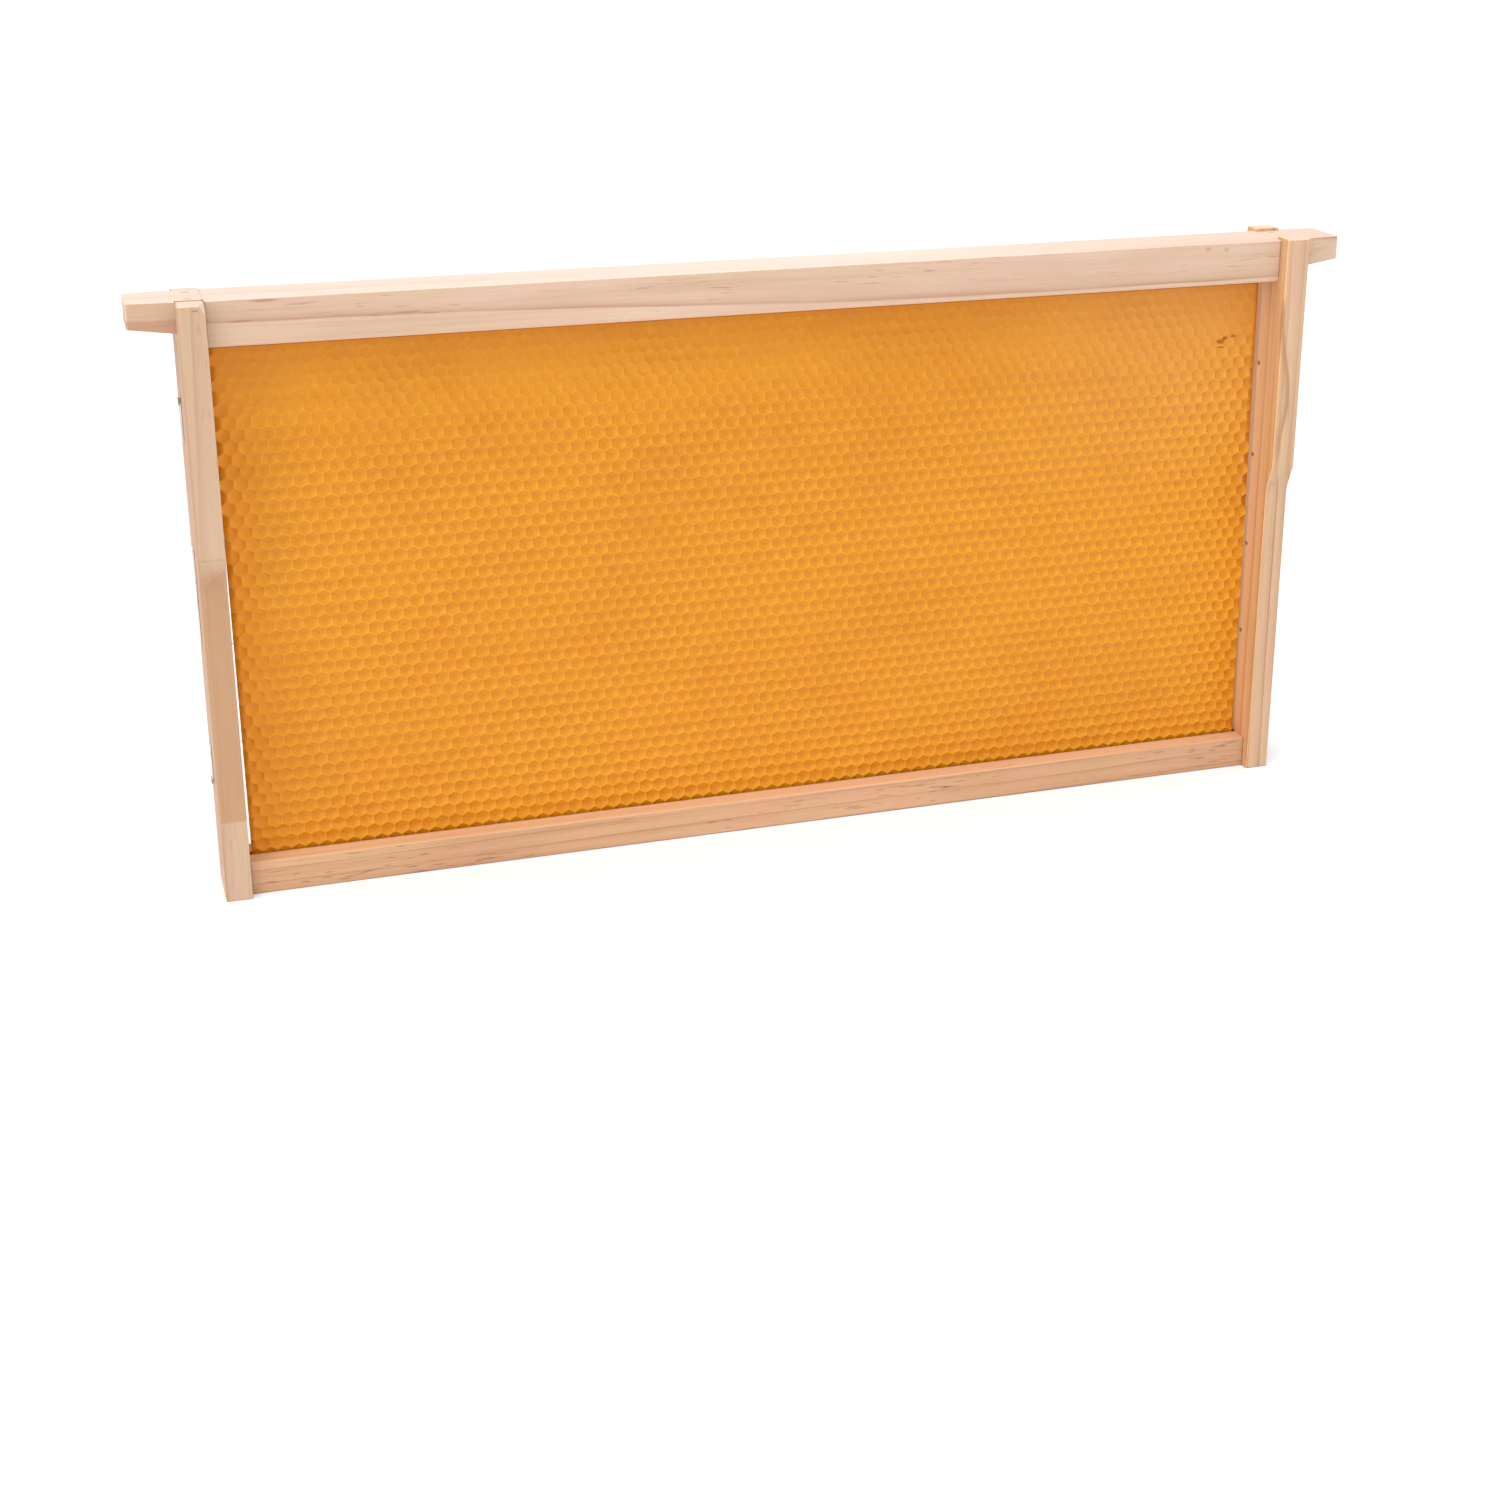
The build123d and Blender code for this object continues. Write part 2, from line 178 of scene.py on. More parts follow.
# ---- Short ways to add shader nodes ----
class Nodes:
    """One material's node tree. Values may be numbers, colours or the outputs of other nodes."""

    def __init__(self, name):
        self.material = bpy.data.materials.new(name)
        self.material.use_nodes = True
        self.tree = self.material.node_tree
        self.tree.nodes.clear()
        coordinates = self.tree.nodes.new("ShaderNodeTexCoord")
        self.position = coordinates.outputs["Object"]
        self.normal = coordinates.outputs["Normal"]

    def feed(self, socket, value):
        """Links a socket to an output, or sets it to a number, vector or colour."""
        if isinstance(value, bpy.types.NodeSocket):
            self.tree.links.new(value, socket)
        elif socket.type == "RGBA":
            socket.default_value = (*value, 1)
        else:
            socket.default_value = value

    def math(self, operation, *values):
        """The result of one operation on numbers."""
        made = self.tree.nodes.new("ShaderNodeMath")
        made.operation = operation
        for socket, value in zip(made.inputs, values):
            self.feed(socket, value)
        return made.outputs[0]

    def vector(self, operation, *values):
        """The result of one operation on vectors, which for some operations is a number."""
        made = self.tree.nodes.new("ShaderNodeVectorMath")
        made.operation = operation
        for socket, value in zip(made.inputs, values):
            self.feed(socket, value)
        return made.outputs["Value" if operation in ("LENGTH", "DISTANCE", "DOT_PRODUCT") else "Vector"]

    def split(self, vector):
        """A vector's X, Y and Z."""
        made = self.tree.nodes.new("ShaderNodeSeparateXYZ")
        self.feed(made.inputs[0], vector)
        return made.outputs

    def mix(self, factor, first, second, blend="MIX"):
        """The first colour where the factor is 0, and the second where it is 1."""
        made = self.tree.nodes.new("ShaderNodeMix")
        made.data_type = "RGBA"
        made.blend_type = blend
        # The node has such sockets for each data type. Its colours are inputs 6 and 7 and output 2.
        self.feed(made.inputs[0], factor)
        self.feed(made.inputs[6], first)
        self.feed(made.inputs[7], second)
        return made.outputs[2]

    def noise(self, vector, scale, detail, roughness=0.5):
        """Smooth noise around 0.5."""
        made = self.tree.nodes.new("ShaderNodeTexNoise")
        self.feed(made.inputs["Vector"], vector)
        made.inputs["Scale"].default_value = scale
        made.inputs["Detail"].default_value = detail
        made.inputs["Roughness"].default_value = roughness
        return made.outputs["Fac"]

    def spread(self, value, start, end, low=0.0, high=1.0):
        """Value from start to end becomes low to high, smoothly and clamped."""
        made = self.tree.nodes.new("ShaderNodeMapRange")
        made.interpolation_type = "SMOOTHSTEP"
        for socket, given in zip(made.inputs, (value, start, end, low, high)):
            self.feed(socket, given)
        return made.outputs[0]

    def ramp(self, value, stops):
        """A grey curve through (position, brightness) stops."""
        made = self.tree.nodes.new("ShaderNodeValToRGB")
        elements = made.color_ramp.elements
        while len(elements) < len(stops):
            elements.new(1)
        for element, (place, brightness) in zip(elements, stops):
            element.position = place
            element.color = (brightness, brightness, brightness, 1)
        self.feed(made.inputs[0], value)
        return made.outputs[0]

    def spot(self, centre, size, ragged, scale):
        """1 inside a ragged blot, fading to 0 at its rim."""
        away = self.vector("DIVIDE", self.vector("SUBTRACT", self.position, centre), size)
        distance = self.vector("LENGTH", away)
        rough = self.math("MULTIPLY_ADD", self.noise(self.position, scale, 2), ragged, -ragged / 2)
        return self.spread(self.math("ADD", distance, rough), 1.0, 0.45)

    def bump(self, height, distance, strength, under=None):
        """A surface normal tilted by a height pattern, on top of another bump if one is given."""
        made = self.tree.nodes.new("ShaderNodeBump")
        made.inputs["Strength"].default_value = strength
        made.inputs["Distance"].default_value = distance
        self.feed(made.inputs["Height"], height)
        if under is not None:
            self.feed(made.inputs["Normal"], under)
        return made.outputs[0]

    def surface(self, colour, roughness, normal=None, **settings):
        """The surface shader. Settings are its other inputs, named with _ for each space."""
        shader = self.tree.nodes.new("ShaderNodeBsdfPrincipled")
        self.feed(shader.inputs["Base Color"], colour)
        self.feed(shader.inputs["Roughness"], roughness)
        if normal is not None:
            self.feed(shader.inputs["Normal"], normal)
        for name, value in settings.items():
            self.feed(shader.inputs[name.replace("_", " ")], value)
        output = self.tree.nodes.new("ShaderNodeOutputMaterial")
        self.tree.links.new(shader.outputs[0], output.inputs[0])


# ---- Pine ----
# Brightness of one growth ring, from its start to its end: it darkens slowly and ends sharply.
RING_SHADES = [(0.0, 0.0), (0.50, 0.08), (0.80, 0.30), (0.90, 0.58), (0.95, 1.0), (1.0, 0.0)]
RING_WANDER = 2.4 * MM
FIBRE_HEIGHT = 0.05 * MM
RING_HEIGHT = 0.10 * MM


def drawn_out(tree, grain, seed):
    """Makes a function that scales the position so that noise on it is drawn out along the grain.

    Its scales are the noise's cells per metre along and across the grain. Its offset tells one pattern of
    a bar from the next.
    """

    def stretched(long_scale, cross_scale, offset):
        scales = [cross_scale] * 3
        scales["XYZ".index(grain)] = long_scale
        scaled = tree.vector("MULTIPLY", tree.position, scales)
        return tree.vector("ADD", scaled, (seed * 3.7 + offset, seed * 1.9 - offset, offset * 2.3))

    return stretched


def growth_rings(tree, stretched, grain, pith, drift, spacing, phase):
    """Rings round a pith line, which wander a little and fade in places."""
    x, y, z = tree.split(tree.position)
    along, first, second = (x, y, z) if grain == "X" else (z, x, y)
    pith_now = tree.math("ADD", drift(tree, along), pith[1])
    across = tree.math("SUBTRACT", first, pith[0])
    up = tree.math("SUBTRACT", second, pith_now)
    squares = tree.math("ADD", tree.math("MULTIPLY", across, across), tree.math("MULTIPLY", up, up))
    wander = tree.noise(stretched(9.0, 30.0, 0.0), 1.0, 2)
    radius = tree.math("MULTIPLY_ADD", wander, RING_WANDER, tree.math("SQRT", squares))
    turns = tree.math("FRACT", tree.math("MULTIPLY_ADD", radius, 1 / spacing, phase))
    fading = tree.spread(tree.noise(stretched(11.0, 60.0, 5.0), 1.0, 1), 0.30, 0.60, 0.40, 1.0)
    return tree.math("MULTIPLY", tree.ramp(turns, RING_SHADES), fading)


def resin_ducts(tree, stretched):
    """Short thin dashes along the grain, in patches."""
    ducts = tree.spread(tree.noise(stretched(100.0, 1300.0, 4.0), 1.0, 1), 0.635, 0.73)
    patches = tree.spread(tree.noise(stretched(14.0, 90.0, 6.0), 1.0, 1), 0.40, 0.60)
    return tree.math("MULTIPLY", ducts, patches)


def weather_and_light(tree, colour, grain, dark, faded_and_lit):
    """Cut across the fibres the wood is a little darker. Sanded edges are worn paler and carry a painted
    highlight, and upper faces are paler with painted light from above.
    """
    lengthwise = (1.0, 0.0, 0.0) if grain == "X" else (0.0, 0.0, 1.0)
    facing = tree.vector("ABSOLUTE", tree.normal)
    end_grain = tree.spread(tree.vector("DOT_PRODUCT", facing, lengthwise), 0.6, 0.95)
    colour = tree.mix(tree.math("MULTIPLY", end_grain, 0.12), colour, dark)
    sides = tree.split(facing)
    flattest = tree.math("MAXIMUM", sides[0], tree.math("MAXIMUM", sides[1], sides[2]))
    # Painted highlight, together with real wear, on the sanded edges.
    worn_and_lit_edges = tree.spread(flattest, 0.93, 0.80, 0.0, 0.55)
    # Painted light from above on the upper faces.
    upward = tree.spread(tree.split(tree.normal)[2], 0.5, 0.95, 0.0, 0.50)
    return tree.mix(tree.math("MAXIMUM", worn_and_lit_edges, upward), colour, faded_and_lit)


def wood(
    name, grain, pith, drift, spacing, phase, pale, dark, faded_and_lit, seed, contrast, flecks, blots=(), stain_and_light=None
):
    """Sawn pine.

    grain is "X" or "Z". pith is where the middle of the growth rings lies across the grain, and drift moves
    it along the bar. spacing is the distance between two rings, and phase shifts them all. pale, dark and
    faded_and_lit are the colours of the wood, of its rings, and of its worn edges and upper faces, which
    also carry a painted highlight and painted light from above. contrast and flecks say how strongly the
    rings and the resin ducts show. stain_and_light is a function that changes the bar's own colour with
    stains and painted light and shade, and each blot on top of it has a centre, a size and a strength.
    """
    tree = Nodes(name)
    stretched = drawn_out(tree, grain, seed)
    rings = growth_rings(tree, stretched, grain, pith, drift, spacing, phase)
    late_wood = tree.math("MULTIPLY", rings, contrast)
    fibres = tree.noise(stretched(35.0, 1500.0, 1.0), 1.0, 3, 0.6)
    streaks = tree.noise(stretched(7.0, 330.0, 2.0), 1.0, 2)
    clouds = tree.noise(stretched(9.0, 28.0, 3.0), 1.0, 2)
    patches = tree.noise(stretched(22.0, 110.0, 7.0), 1.0, 2)
    beige = (pale[0] * 0.96, pale[1] * 1.01, pale[2] * 0.94)
    brown = (dark[0] * 0.42, dark[1] * 0.30, dark[2] * 0.22)

    colour = tree.mix(tree.spread(patches, 0.42, 0.60), pale, beige)
    colour = tree.mix(late_wood, colour, dark)
    colour = tree.mix(tree.spread(clouds, 0.35, 0.68, 0.0, 0.26), colour, dark)
    colour = tree.mix(tree.spread(streaks, 0.48, 0.78, 0.0, 0.34), colour, dark)
    colour = tree.mix(tree.spread(fibres, 0.30, 0.75, 0.0, 0.18), colour, dark)
    colour = tree.mix(tree.math("MULTIPLY", resin_ducts(tree, stretched), flecks), colour, brown)
    colour = weather_and_light(tree, colour, grain, dark, faded_and_lit)
    if stain_and_light:
        colour = stain_and_light(tree, colour)
    for centre, size, strength in blots:
        blot = tree.spot(centre, size, 0.9, 1100.0)
        colour = tree.mix(tree.math("MULTIPLY", blot, strength), colour, brown)

    roughness = tree.spread(fibres, 0.2, 0.8, 0.52, 0.68)
    raised = tree.bump(fibres, FIBRE_HEIGHT, 0.55)
    normal = tree.bump(late_wood, RING_HEIGHT, 0.6, raised)
    tree.surface(colour, roughness, normal, Specular_IOR_Level=0.5, Sheen_Weight=0.12, Sheen_Roughness=0.5)
    return tree.material


# ---- How each bar's grain runs, what has stained it, and the light and shade painted on it ----
def straight_drift(slope):
    """The grain runs out of the plank at a constant slope."""
    return lambda tree, along: tree.math("MULTIPLY", along, slope)


def top_bar_drift(tree, along):
    """The grain is level near the top bar's left end, then sinks until a little past its middle."""
    return tree.spread(along, -140 * MM, 60 * MM, 0.0, -6.0 * MM)


def joint_shade(tree, colour):
    """A thin dark line where a bar meets the inner faces of the end bars."""
    shadow = (0.16, 0.07, 0.03)
    from_middle = tree.math("ABSOLUTE", tree.split(tree.position)[0])
    away = tree.math("ABSOLUTE", tree.math("SUBTRACT", from_middle, RIGHT_JOINT))
    near = tree.spread(away, 0.9 * MM, 0.2 * MM, 0.0, 0.55)
    sideways = tree.spread(tree.split(tree.normal)[2], 0.5, 0.95, 1.0, 0.3)
    return tree.mix(tree.math("MULTIPLY", near, sideways), colour, shadow)


def top_bar_stain_and_light(tree, colour):
    """The left lug is browner under a grain line, and the brown fades out beyond the joint.

    The middle third is a little paler, the top face is darker towards the right, and the lower edge has
    painted orange light bounced from the wax under it.
    """
    pale_tint = (1.05, 1.07, 1.09)
    brown = (0.42, 0.215, 0.115)
    top_right_tone = (0.64, 0.36, 0.24)
    wax_bounce_tone = (0.66, 0.38, 0.20)
    x, _, z = tree.split(tree.position)
    from_middle = tree.math("ABSOLUTE", tree.math("SUBTRACT", x, 10 * MM))
    paler = tree.spread(from_middle, 150 * MM, 40 * MM)
    colour = tree.mix(paler, colour, pale_tint, "MULTIPLY")
    colour = joint_shade(tree, colour)
    ripple = tree.math("MULTIPLY_ADD", tree.noise(tree.position, 70.0, 2), 1.6 * MM, -0.8 * MM)
    below = tree.spread(tree.math("ADD", z, ripple), BAR_HIGH.z - 5.4 * MM, BAR_HIGH.z - 6.6 * MM, 0.30, 1.0)
    outside = tree.spread(x, LEFT_JOINT + 4 * MM, LEFT_BAR_LOW.x, 0.0, 0.75)
    upward = tree.spread(tree.split(tree.normal)[2], 0.5, 0.95)
    lug = tree.math("MULTIPLY", tree.math("MULTIPLY", below, outside), tree.math("SUBTRACT", 1.0, upward))
    colour = tree.mix(lug, colour, brown)
    # The top face is darker towards the right.
    right = tree.math("MULTIPLY", tree.spread(x, 0.0, BAR_HIGH.x, 0.0, 0.35), upward)
    colour = tree.mix(right, colour, top_right_tone)
    # Painted light: orange light bounced from the wax onto the lower edge.
    low_edge_bounce = tree.spread(z, BAR_LOW.z + 1.3 * MM, BAR_LOW.z + 0.5 * MM, 0.0, 0.55)
    return tree.mix(low_edge_bounce, colour, wax_bounce_tone)


def wavy_line(tree, x, z):
    """1 along a grain line that swings across the right end bar's front, fading out on its inner side."""
    swing_out = tree.spread(z, 200 * MM, 168 * MM, 0.0, 4.6 * MM)
    swing_back = tree.spread(z, 165 * MM, 148 * MM, 0.0, -2.4 * MM)
    line = tree.math("ADD", tree.math("ADD", swing_out, swing_back), RIGHT_JOINT + 0.6 * MM)
    past = tree.math("SUBTRACT", x, line)
    shade = tree.math("MULTIPLY", tree.spread(past, -3.4 * MM, -0.2 * MM), tree.spread(past, 0.6 * MM, 0.0))
    ends = tree.math("MULTIPLY", tree.spread(z, 134 * MM, 148 * MM), tree.spread(z, 212 * MM, 202 * MM))
    return tree.math("MULTIPLY", shade, ends)


def right_bar_stain_and_light(tree, colour):
    """The right end bar's inner face is resinous and carries painted light bounced from the wax, most near
    the wax. A dark line crosses its front.
    """
    resin_and_bounce_tint = (1.12, 1.0, 0.76)
    wax_bounce_glow = (0.80, 0.40, 0.15)
    line_brown = (0.42, 0.21, 0.09)
    x, y, z = tree.split(tree.position)
    inside = tree.spread(x, RIGHT_JOINT + 1.5 * MM, RIGHT_JOINT + 0.3 * MM)
    # The inner face's warmer tone is partly its own resin and partly painted light bounced from the wax.
    colour = tree.mix(inside, colour, resin_and_bounce_tint, "MULTIPLY")
    # Painted orange light bounced from the wax onto the inner face next to it.
    wax_bounce = tree.math("MULTIPLY", inside, tree.spread(y, -8 * MM, -2 * MM, 0.0, 0.55))
    colour = tree.mix(wax_bounce, colour, wax_bounce_glow)
    in_front = tree.spread(y, EAR_FRONT + 3.0 * MM, EAR_FRONT + 0.5 * MM, 0.0, 0.85)
    line = tree.math("MULTIPLY", wavy_line(tree, x, z), in_front)
    return tree.mix(line, colour, line_brown)


def left_bar_stain_and_shade(tree, colour):
    """The left end bar is browner from its shoulder to a saw mark near its foot, and painted shade darkens
    its outer face.
    """
    brown = (0.41, 0.185, 0.050)
    line_brown = (0.34, 0.17, 0.08)
    shoulder = LEFT_BAR_LOW.z + 138 * MM
    saw_mark = LEFT_BAR_LOW.z + 32.8 * MM
    x, _, z = tree.split(tree.position)
    under_shoulder = tree.spread(z, shoulder, shoulder - 10 * MM, 0.0, 0.50)
    over_mark = tree.spread(z, saw_mark - 0.3 * MM, saw_mark + 0.7 * MM)
    # Painted shade on the outer face, which is turned away from the light.
    outer = tree.spread(x, LEFT_BAR_LOW.x + 0.9 * MM, LEFT_BAR_LOW.x + 0.1 * MM, 0.0, 0.68)
    stained = tree.math("MAXIMUM", tree.math("MULTIPLY", under_shoulder, over_mark), outer)
    colour = tree.mix(stained, colour, brown)
    for height in (saw_mark, shoulder):
        away = tree.math("ABSOLUTE", tree.math("SUBTRACT", z, height))
        colour = tree.mix(tree.spread(away, 0.7 * MM, 0.1 * MM, 0.0, 0.25), colour, line_brown)
    return colour


def give_material(node, material):
    """Puts one material on all of a CAD piece."""
    node.data.materials.clear()
    node.data.materials.append(material)


def dress_wood():
    """Each bar is sawn from its own plank."""
    top_marks = [
        ((-202 * MM, BAR_FRONT, 224 * MM), (5.0 * MM, 2 * MM, 0.6 * MM), 0.35),
        ((-193 * MM, BAR_FRONT, 231 * MM), (6.5 * MM, 2 * MM, 0.7 * MM), 0.45),
        ((181 * MM, BAR_FRONT, 230 * MM), (1.6 * MM, 2 * MM, 1.2 * MM), 0.28),
        ((189 * MM, BAR_FRONT, 229.5 * MM), (1.6 * MM, 2 * MM, 1.2 * MM), 0.28),
    ]
    ear_marks = [
        ((-217.6 * MM, EAR_FRONT, LEFT_BAR_HIGH.z - 1.9 * MM), (1.5 * MM, 2 * MM, 0.5 * MM), 0.45),
    ]
    bars = {
        "top_bar": wood(
            "pine_top_bar",
            grain="X",
            pith=(30 * MM, 290 * MM),
            drift=top_bar_drift,
            spacing=12.5 * MM,
            phase=0.56,
            pale=(0.665, 0.468, 0.346),
            dark=(0.430, 0.235, 0.140),
            faded_and_lit=(0.860, 0.640, 0.570),
            seed=1,
            contrast=1.0,
            flecks=0.30,
            blots=top_marks,
            stain_and_light=top_bar_stain_and_light,
        ),
        "bottom_bar": wood(
            "pine_bottom_bar",
            grain="X",
            pith=(-45 * MM, -40 * MM),
            drift=straight_drift(0.012),
            spacing=4.6 * MM,
            phase=0.10,
            pale=(0.645, 0.378, 0.218),
            dark=(0.400, 0.175, 0.075),
            faded_and_lit=(0.680, 0.385, 0.215),
            seed=2,
            contrast=0.70,
            flecks=0.75,
            stain_and_light=joint_shade,
        ),
        "left_end_bar": wood(
            "pine_left_end_bar",
            grain="Z",
            pith=(-190 * MM, 60 * MM),
            drift=straight_drift(0.010),
            spacing=4.2 * MM,
            phase=0.40,
            pale=(0.600, 0.405, 0.282),
            dark=(0.420, 0.235, 0.130),
            faded_and_lit=(0.820, 0.610, 0.500),
            seed=3,
            contrast=0.60,
            flecks=0.25,
            blots=ear_marks,
            stain_and_light=left_bar_stain_and_shade,
        ),
        "right_end_bar": wood(
            "pine_right_end_bar",
            grain="Z",
            pith=(170 * MM, 26 * MM),
            drift=straight_drift(0.004),
            spacing=4.4 * MM,
            phase=0.18,
            pale=(0.650, 0.428, 0.275),
            dark=(0.400, 0.190, 0.080),
            faded_and_lit=(0.840, 0.640, 0.520),
            seed=4,
            contrast=1.15,
            flecks=0.25,
            stain_and_light=right_bar_stain_and_light,
        ),
    }
    for node, material in bars.items():
        give_material(NODES[node], material)


# ---- Steel ----
def steel(name, colour, tarnish, amount, roughness):
    """Drawn steel with clouds of tarnish, as strong as amount says, and fine scratches."""
    tree = Nodes(name)
    clouds = tree.spread(tree.noise(tree.position, 260.0, 3), 0.42, 0.72, 0.0, amount)
    scratches = tree.noise(tree.vector("MULTIPLY", tree.position, (1.0, 1.0, 0.15)), 4200.0, 2)
    shade = tree.mix(clouds, colour, tarnish)
    shade = tree.mix(tree.spread(scratches, 0.35, 0.75, 0.0, 0.18), shade, tarnish)
    rough = tree.math("MULTIPLY_ADD", scratches, 0.14, tree.math("MULTIPLY_ADD", clouds, 0.3, roughness))
    normal = tree.bump(scratches, 0.01 * MM, 0.5)
    tree.surface(shade, rough, normal, Metallic=1.0)
    return tree.material


def dress_steel():
    """The wire is bright and drawn, the tacks are duller, and a tan cement coats the frame nails."""
    wire = steel("bright_wire", (0.78, 0.77, 0.75), (0.38, 0.34, 0.30), amount=0.35, roughness=0.24)
    tacks = steel("tack_steel", (0.60, 0.50, 0.42), (0.32, 0.19, 0.12), amount=0.60, roughness=0.38)
    nails = steel("coated_nails", (0.88, 0.72, 0.56), (0.62, 0.44, 0.29), amount=0.45, roughness=0.45)
    finishes = {"support_wire": wire, "tack": tacks, "nail": nails, "nails": nails}
    for name, node in NODES.items():
        finish = finishes.get(name) or finishes.get(name.split("_")[-1])
        if finish:
            give_material(node, finish)


# ---- Foundation: beeswax embossed with cells on both faces ----
CELL_PITCH = 5.38 * MM
CELL_SIDE = CELL_PITCH / math.sqrt(3)
ROW_PITCH = CELL_PITCH * math.sqrt(3) / 2
WALL_WIDTH = 0.7 * MM  # at its foot
WEB_THICKNESS = 1.6 * MM  # of the wax between the cells of the two faces
PIT_DEPTH = 0.28 * MM  # how far a cell's middle lies behind the web's surface
WALL_LOSS_MM = 0.13  # how far the walls' tops stay inside the sheet's thickness
UNEVENNESS_MM = 0.055  # of the walls' tops, for each of the two waves
TOP_JITTER_MM = 0.08  # how much lower a single corner of the walls may be
NUDGE = 0.07 * MM  # how far that corner may lie off its place
RUBBED_FROM = SHEET_LOW.z + 166 * MM
RUBBED_BAND = 28 * MM  # over which the cells go from whole to rubbed
RUBBED_AMOUNT = 0.88  # 1 would leave the wax flat
RUBBED_HEIGHT = 0.95 * MM  # of the wax where the cells are rubbed away, from the sheet's middle
CORNER_ANGLES = [math.radians(90 + 60 * corner) for corner in range(6)]
CUT_TOLERANCE = 1e-7
EDGE_TOLERANCE = 1e-6


def sheet_corners():
    """The sheet's four corners, seen from the front, from its CAD node."""
    places = [vertex.co for vertex in NODES["foundation_sheet"].data.vertices]
    corners = []
    for height, sides in ((SHEET_LOW.z, (-1, 1)), (SHEET_HIGH.z, (1, -1))):
        row = [place.x for place in places if abs(place.z - height) < 0.1 * MM]
        corners += [Vector((side * max(side * x for x in row), 0, height)) for side in sides]
    return corners


def waves(x, z):
    """Two smooth patterns over the sheet, each from -1 to 1: one slow and one quick."""
    slow = math.sin(x * 61 + 1.3) * math.sin(z * 83 + 0.4)
    quick = math.sin(x * 407 + z * 233) * math.sin(z * 571 - x * 149)
    return slow, quick


def wall_height(x, z):
    """How far the top of a perfect sheet's cell wall lies from the sheet's middle."""
    slow, quick = waves(x, z)
    return SHEET_HIGH.y - (WALL_LOSS_MM + UNEVENNESS_MM * slow + UNEVENNESS_MM * quick) * MM


def rubbed(height, x, z):
    """A height after handling, which has rubbed the cells along the sheet's upper edge nearly flat."""
    slow, quick = waves(x, z)
    start = RUBBED_FROM + 9 * MM * slow + 4 * MM * quick  # the rubbed part has a wavy edge
    amount = RUBBED_AMOUNT * min(max((z - start) / RUBBED_BAND, 0), 1)
    return height + (RUBBED_HEIGHT - height) * amount


def add_face_cells(mesh, face):
    """Adds the cells of the front (face -1) or the back (face 1), a little past the sheet's outline."""
    reach = 2 * CELL_PITCH  # past the outline on every side
    columns = math.ceil((SHEET_HIGH.x - SHEET_LOW.x + 2 * reach) / CELL_PITCH)
    rows = math.ceil((SHEET_HIGH.z - SHEET_LOW.z + 2 * reach) / ROW_PITCH)
    web = WEB_THICKNESS / 2
    shrink = (CELL_PITCH - WALL_WIDTH) / CELL_PITCH
    low_corners = (0, 2, 4) if face < 0 else (1, 3, 5)  # of the three rhombs that make a cell's floor
    jitter = random.Random(7 + face)
    shared = {}

    def crest(x, z):
        """The top of the walls at one corner of a cell, shared by the three cells that meet there."""
        key = (round(x / (0.1 * CELL_PITCH)), round(z / (0.1 * CELL_PITCH)))
        if key not in shared:
            height = rubbed(wall_height(x, z) - jitter.uniform(0, TOP_JITTER_MM) * MM, x, z)
            place = (x + jitter.uniform(-NUDGE, NUDGE), face * height, z + jitter.uniform(-NUDGE, NUDGE))
            shared[key] = mesh.verts.new(place)
        return shared[key]

    for row in range(rows):
        z = SHEET_LOW.z - reach + row * ROW_PITCH + (0 if face < 0 else CELL_SIDE)
        shift = CELL_PITCH / 2 if row % 2 else 0
        for column in range(columns):
            x = SHEET_LOW.x - reach + column * CELL_PITCH + shift
            middle = mesh.verts.new((x, face * rubbed(web - PIT_DEPTH, x, z), z))
            crests = []
            feet = []
            for corner, angle in enumerate(CORNER_ANGLES):
                across, up = CELL_SIDE * math.cos(angle), CELL_SIDE * math.sin(angle)
                crests.append(crest(x + across, z + up))
                drop = 2 if corner in low_corners else 1
                height = rubbed(web - PIT_DEPTH * (1 - drop * shrink), x, z)
                feet.append(mesh.verts.new((x + shrink * across, face * height, z + shrink * up)))
            for corner in range(6):
                following = (corner + 1) % 6
                floor = (middle, feet[corner], feet[following])
                wall = (feet[corner], crests[corner], crests[following], feet[following])
                for loop in (floor, wall):
                    mesh.faces.new(loop if face < 0 else tuple(reversed(loop)))


def trim(mesh, corners):
    """Cuts the cells off along the sheet's outline."""
    for start, end in zip(corners, corners[1:] + corners[:1]):
        outward = Vector((0, 1, 0)).cross(end - start).normalized()
        geometry = mesh.verts[:] + mesh.edges[:] + mesh.faces[:]
        bmesh.ops.bisect_plane(
            mesh,
            geom=geometry,
            dist=CUT_TOLERANCE,
            plane_co=start,
            plane_no=outward,
            clear_outer=True,
        )


def close_edges(mesh, corners):
    """Joins the two faces round the sheet's outline, with one flat strip along each of its four edges."""
    rim = {vertex for edge in mesh.edges if edge.is_boundary for vertex in edge.verts}
    for start, end in zip(corners, corners[1:] + corners[:1]):
        run = (end - start).normalized()
        outward = Vector((0, 1, 0)).cross(run)
        on_edge = [vertex for vertex in rim if abs((vertex.co - start).dot(outward)) < EDGE_TOLERANCE]
        on_edge.sort(key=lambda vertex: (vertex.co - start).dot(run))
        front = [vertex for vertex in on_edge if vertex.co.y < 0]
        back = [vertex for vertex in on_edge if vertex.co.y > 0]
        mesh.faces.new(front + back[::-1])


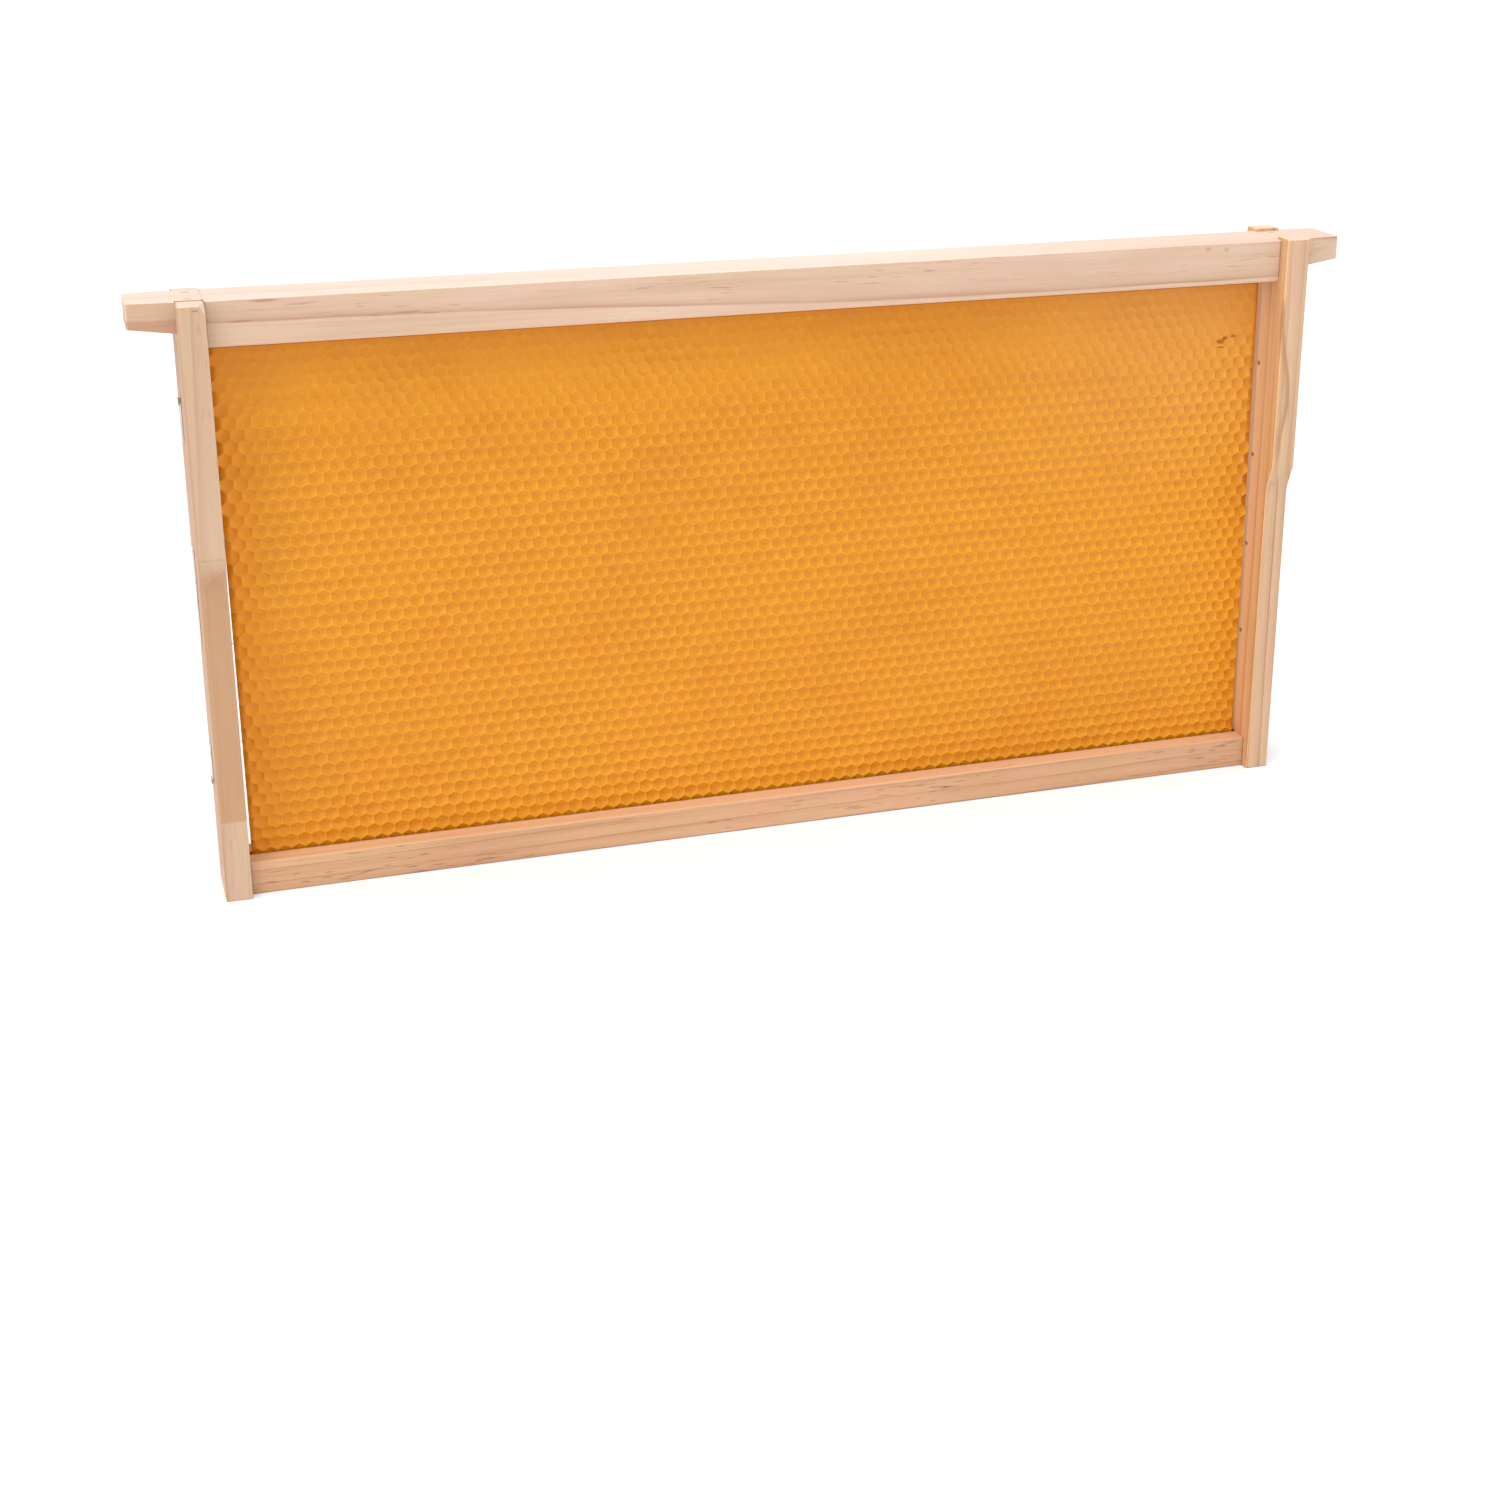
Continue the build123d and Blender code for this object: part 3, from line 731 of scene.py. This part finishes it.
def make_foundation():
    """The embossed sheet as one closed solid."""
    corners = sheet_corners()
    mesh = bmesh.new()
    for face in (-1, 1):
        add_face_cells(mesh, face)
    trim(mesh, corners)
    close_edges(mesh, corners)
    bmesh.ops.recalc_face_normals(mesh, faces=mesh.faces)
    # A cell's faces have a few corners each, and the strips round the outline have hundreds.
    strips = [polygon for polygon in mesh.faces if len(polygon.verts) > 8]
    bmesh.ops.triangulate(mesh, faces=strips)
    for polygon in mesh.faces:
        on_strip = abs(polygon.normal.y) <= 0.1
        polygon.smooth = not on_strip
    made = bpy.data.meshes.new("wax_foundation")
    mesh.to_mesh(made)
    mesh.free()
    sheet = bpy.data.objects.new("wax_foundation", made)
    bpy.context.scene.collection.objects.link(sheet)
    made.materials.append(beeswax())
    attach(sheet, "root")
    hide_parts("foundation_sheet")


def wax_colour_and_light(tree, mottle):
    """Gold, with painted light and shade: painted light from above on the walls' crests and upward faces,
    painted shade in the cells and under the top bar, and painted light that lifts the end bar's shadow off
    the left edge, which is also more orange.
    """
    shaded_pit = (0.620, 0.226, 0.006)
    floor = (0.694, 0.280, 0.011)
    crest = (0.865, 0.422, 0.029)
    deep_tone_and_shade = (0.570, 0.175, 0.004)
    lit_left_edge = (0.850, 0.325, 0.017)
    light_specks = (0.930, 0.480, 0.050)
    haze = (0.860, 0.520, 0.200)
    x, y, z = tree.split(tree.position)
    depth = tree.math("ABSOLUTE", y)
    # Painted light from above: the walls are paler towards their crests, most on upward faces; the pits
    # carry painted shade.
    upward = tree.spread(tree.split(tree.normal)[2], 0.0, 0.50, 0.45, 1.0)
    paler = tree.math("MULTIPLY", tree.spread(depth, 0.85 * MM, 1.25 * MM), upward)
    colour = tree.mix(tree.spread(depth, 0.52 * MM, 0.80 * MM), shaded_pit, floor)
    colour = tree.mix(paler, colour, crest)
    # Painted shade under the top bar; the same deeper tone also marks the random clouds and smears.
    top_bar_shade = tree.spread(z, SHEET_HIGH.z - 35 * MM, SHEET_HIGH.z - 3 * MM, 0.0, 0.20)
    colour = tree.mix(top_bar_shade, colour, deep_tone_and_shade)
    # Painted light that lifts the end bar's shadow off the sheet's left edge, in a more orange tone.
    left_edge_light = tree.spread(x, SHEET_LOW.x + 20 * MM, SHEET_LOW.x + 1 * MM, 0.0, 0.75)
    colour = tree.mix(left_edge_light, colour, lit_left_edge)
    clouds = tree.noise(tree.position, 14.0, 3)
    colour = tree.mix(tree.spread(clouds, 0.40, 0.68, 0.0, 0.22), colour, deep_tone_and_shade)
    smears = tree.noise(tree.vector("MULTIPLY", tree.position, (25.0, 25.0, 160.0)), 1.0, 2)
    colour = tree.mix(tree.spread(smears, 0.45, 0.75, 0.0, 0.20), colour, deep_tone_and_shade)
    colour = tree.mix(tree.spread(mottle, 0.50, 0.80, 0.0, 0.20), colour, light_specks)
    hazy = tree.math("MULTIPLY", tree.spread(x, 60 * MM, 190 * MM), tree.spread(z, 110 * MM, 190 * MM))
    return tree.mix(tree.math("MULTIPLY", hazy, 0.16), colour, haze)


def soil_and_shade_wax(tree, colour):
    """A few dark marks near the upper right corner of the front, and a shaded line by the top bar."""
    grime = (0.320, 0.110, 0.003)
    shaded = (0.300, 0.090, 0.008)
    marks = [
        ((194.6 * MM, SHEET_LOW.y, 189.0 * MM), (2.4 * MM, 3 * MM, 1.4 * MM)),
        ((196.7 * MM, SHEET_LOW.y, 190.3 * MM), (1.8 * MM, 3 * MM, 1.0 * MM)),
        ((200.5 * MM, SHEET_LOW.y, 191.0 * MM), (1.6 * MM, 3 * MM, 0.9 * MM)),
        ((195.2 * MM, SHEET_LOW.y, 186.6 * MM), (2.6 * MM, 3 * MM, 0.45 * MM)),
    ]
    for centre, size in marks:
        blot = tree.spot(centre, size, 0.6, 700.0)
        colour = tree.mix(tree.math("MULTIPLY", blot, 0.90), colour, grime)
    z = tree.split(tree.position)[2]
    # Painted shadow just under the top bar's front edge.
    under_bar = tree.spread(z, BAR_LOW.z - 2.9 * MM, BAR_LOW.z - 2.0 * MM, 0.0, 0.85)
    return tree.mix(under_bar, colour, shaded)


def beeswax():
    """Wax that light soaks into a little, under a fine mottle."""
    tree = Nodes("beeswax")
    mottle = tree.noise(tree.position, 420.0, 3)
    tree.surface(
        soil_and_shade_wax(tree, wax_colour_and_light(tree, mottle)),
        roughness=tree.spread(mottle, 0.3, 0.7, 0.36, 0.50),
        normal=tree.bump(mottle, 0.06 * MM, 0.5),
        Subsurface_Weight=0.40,
        Subsurface_Radius=(1.0, 0.45, 0.10),
        Subsurface_Scale=1.6 * MM,
        Specular_IOR_Level=0.28,
    )
    return tree.material


make_camera()
make_studio()
make_floor()
dress_wood()
dress_steel()
make_foundation()
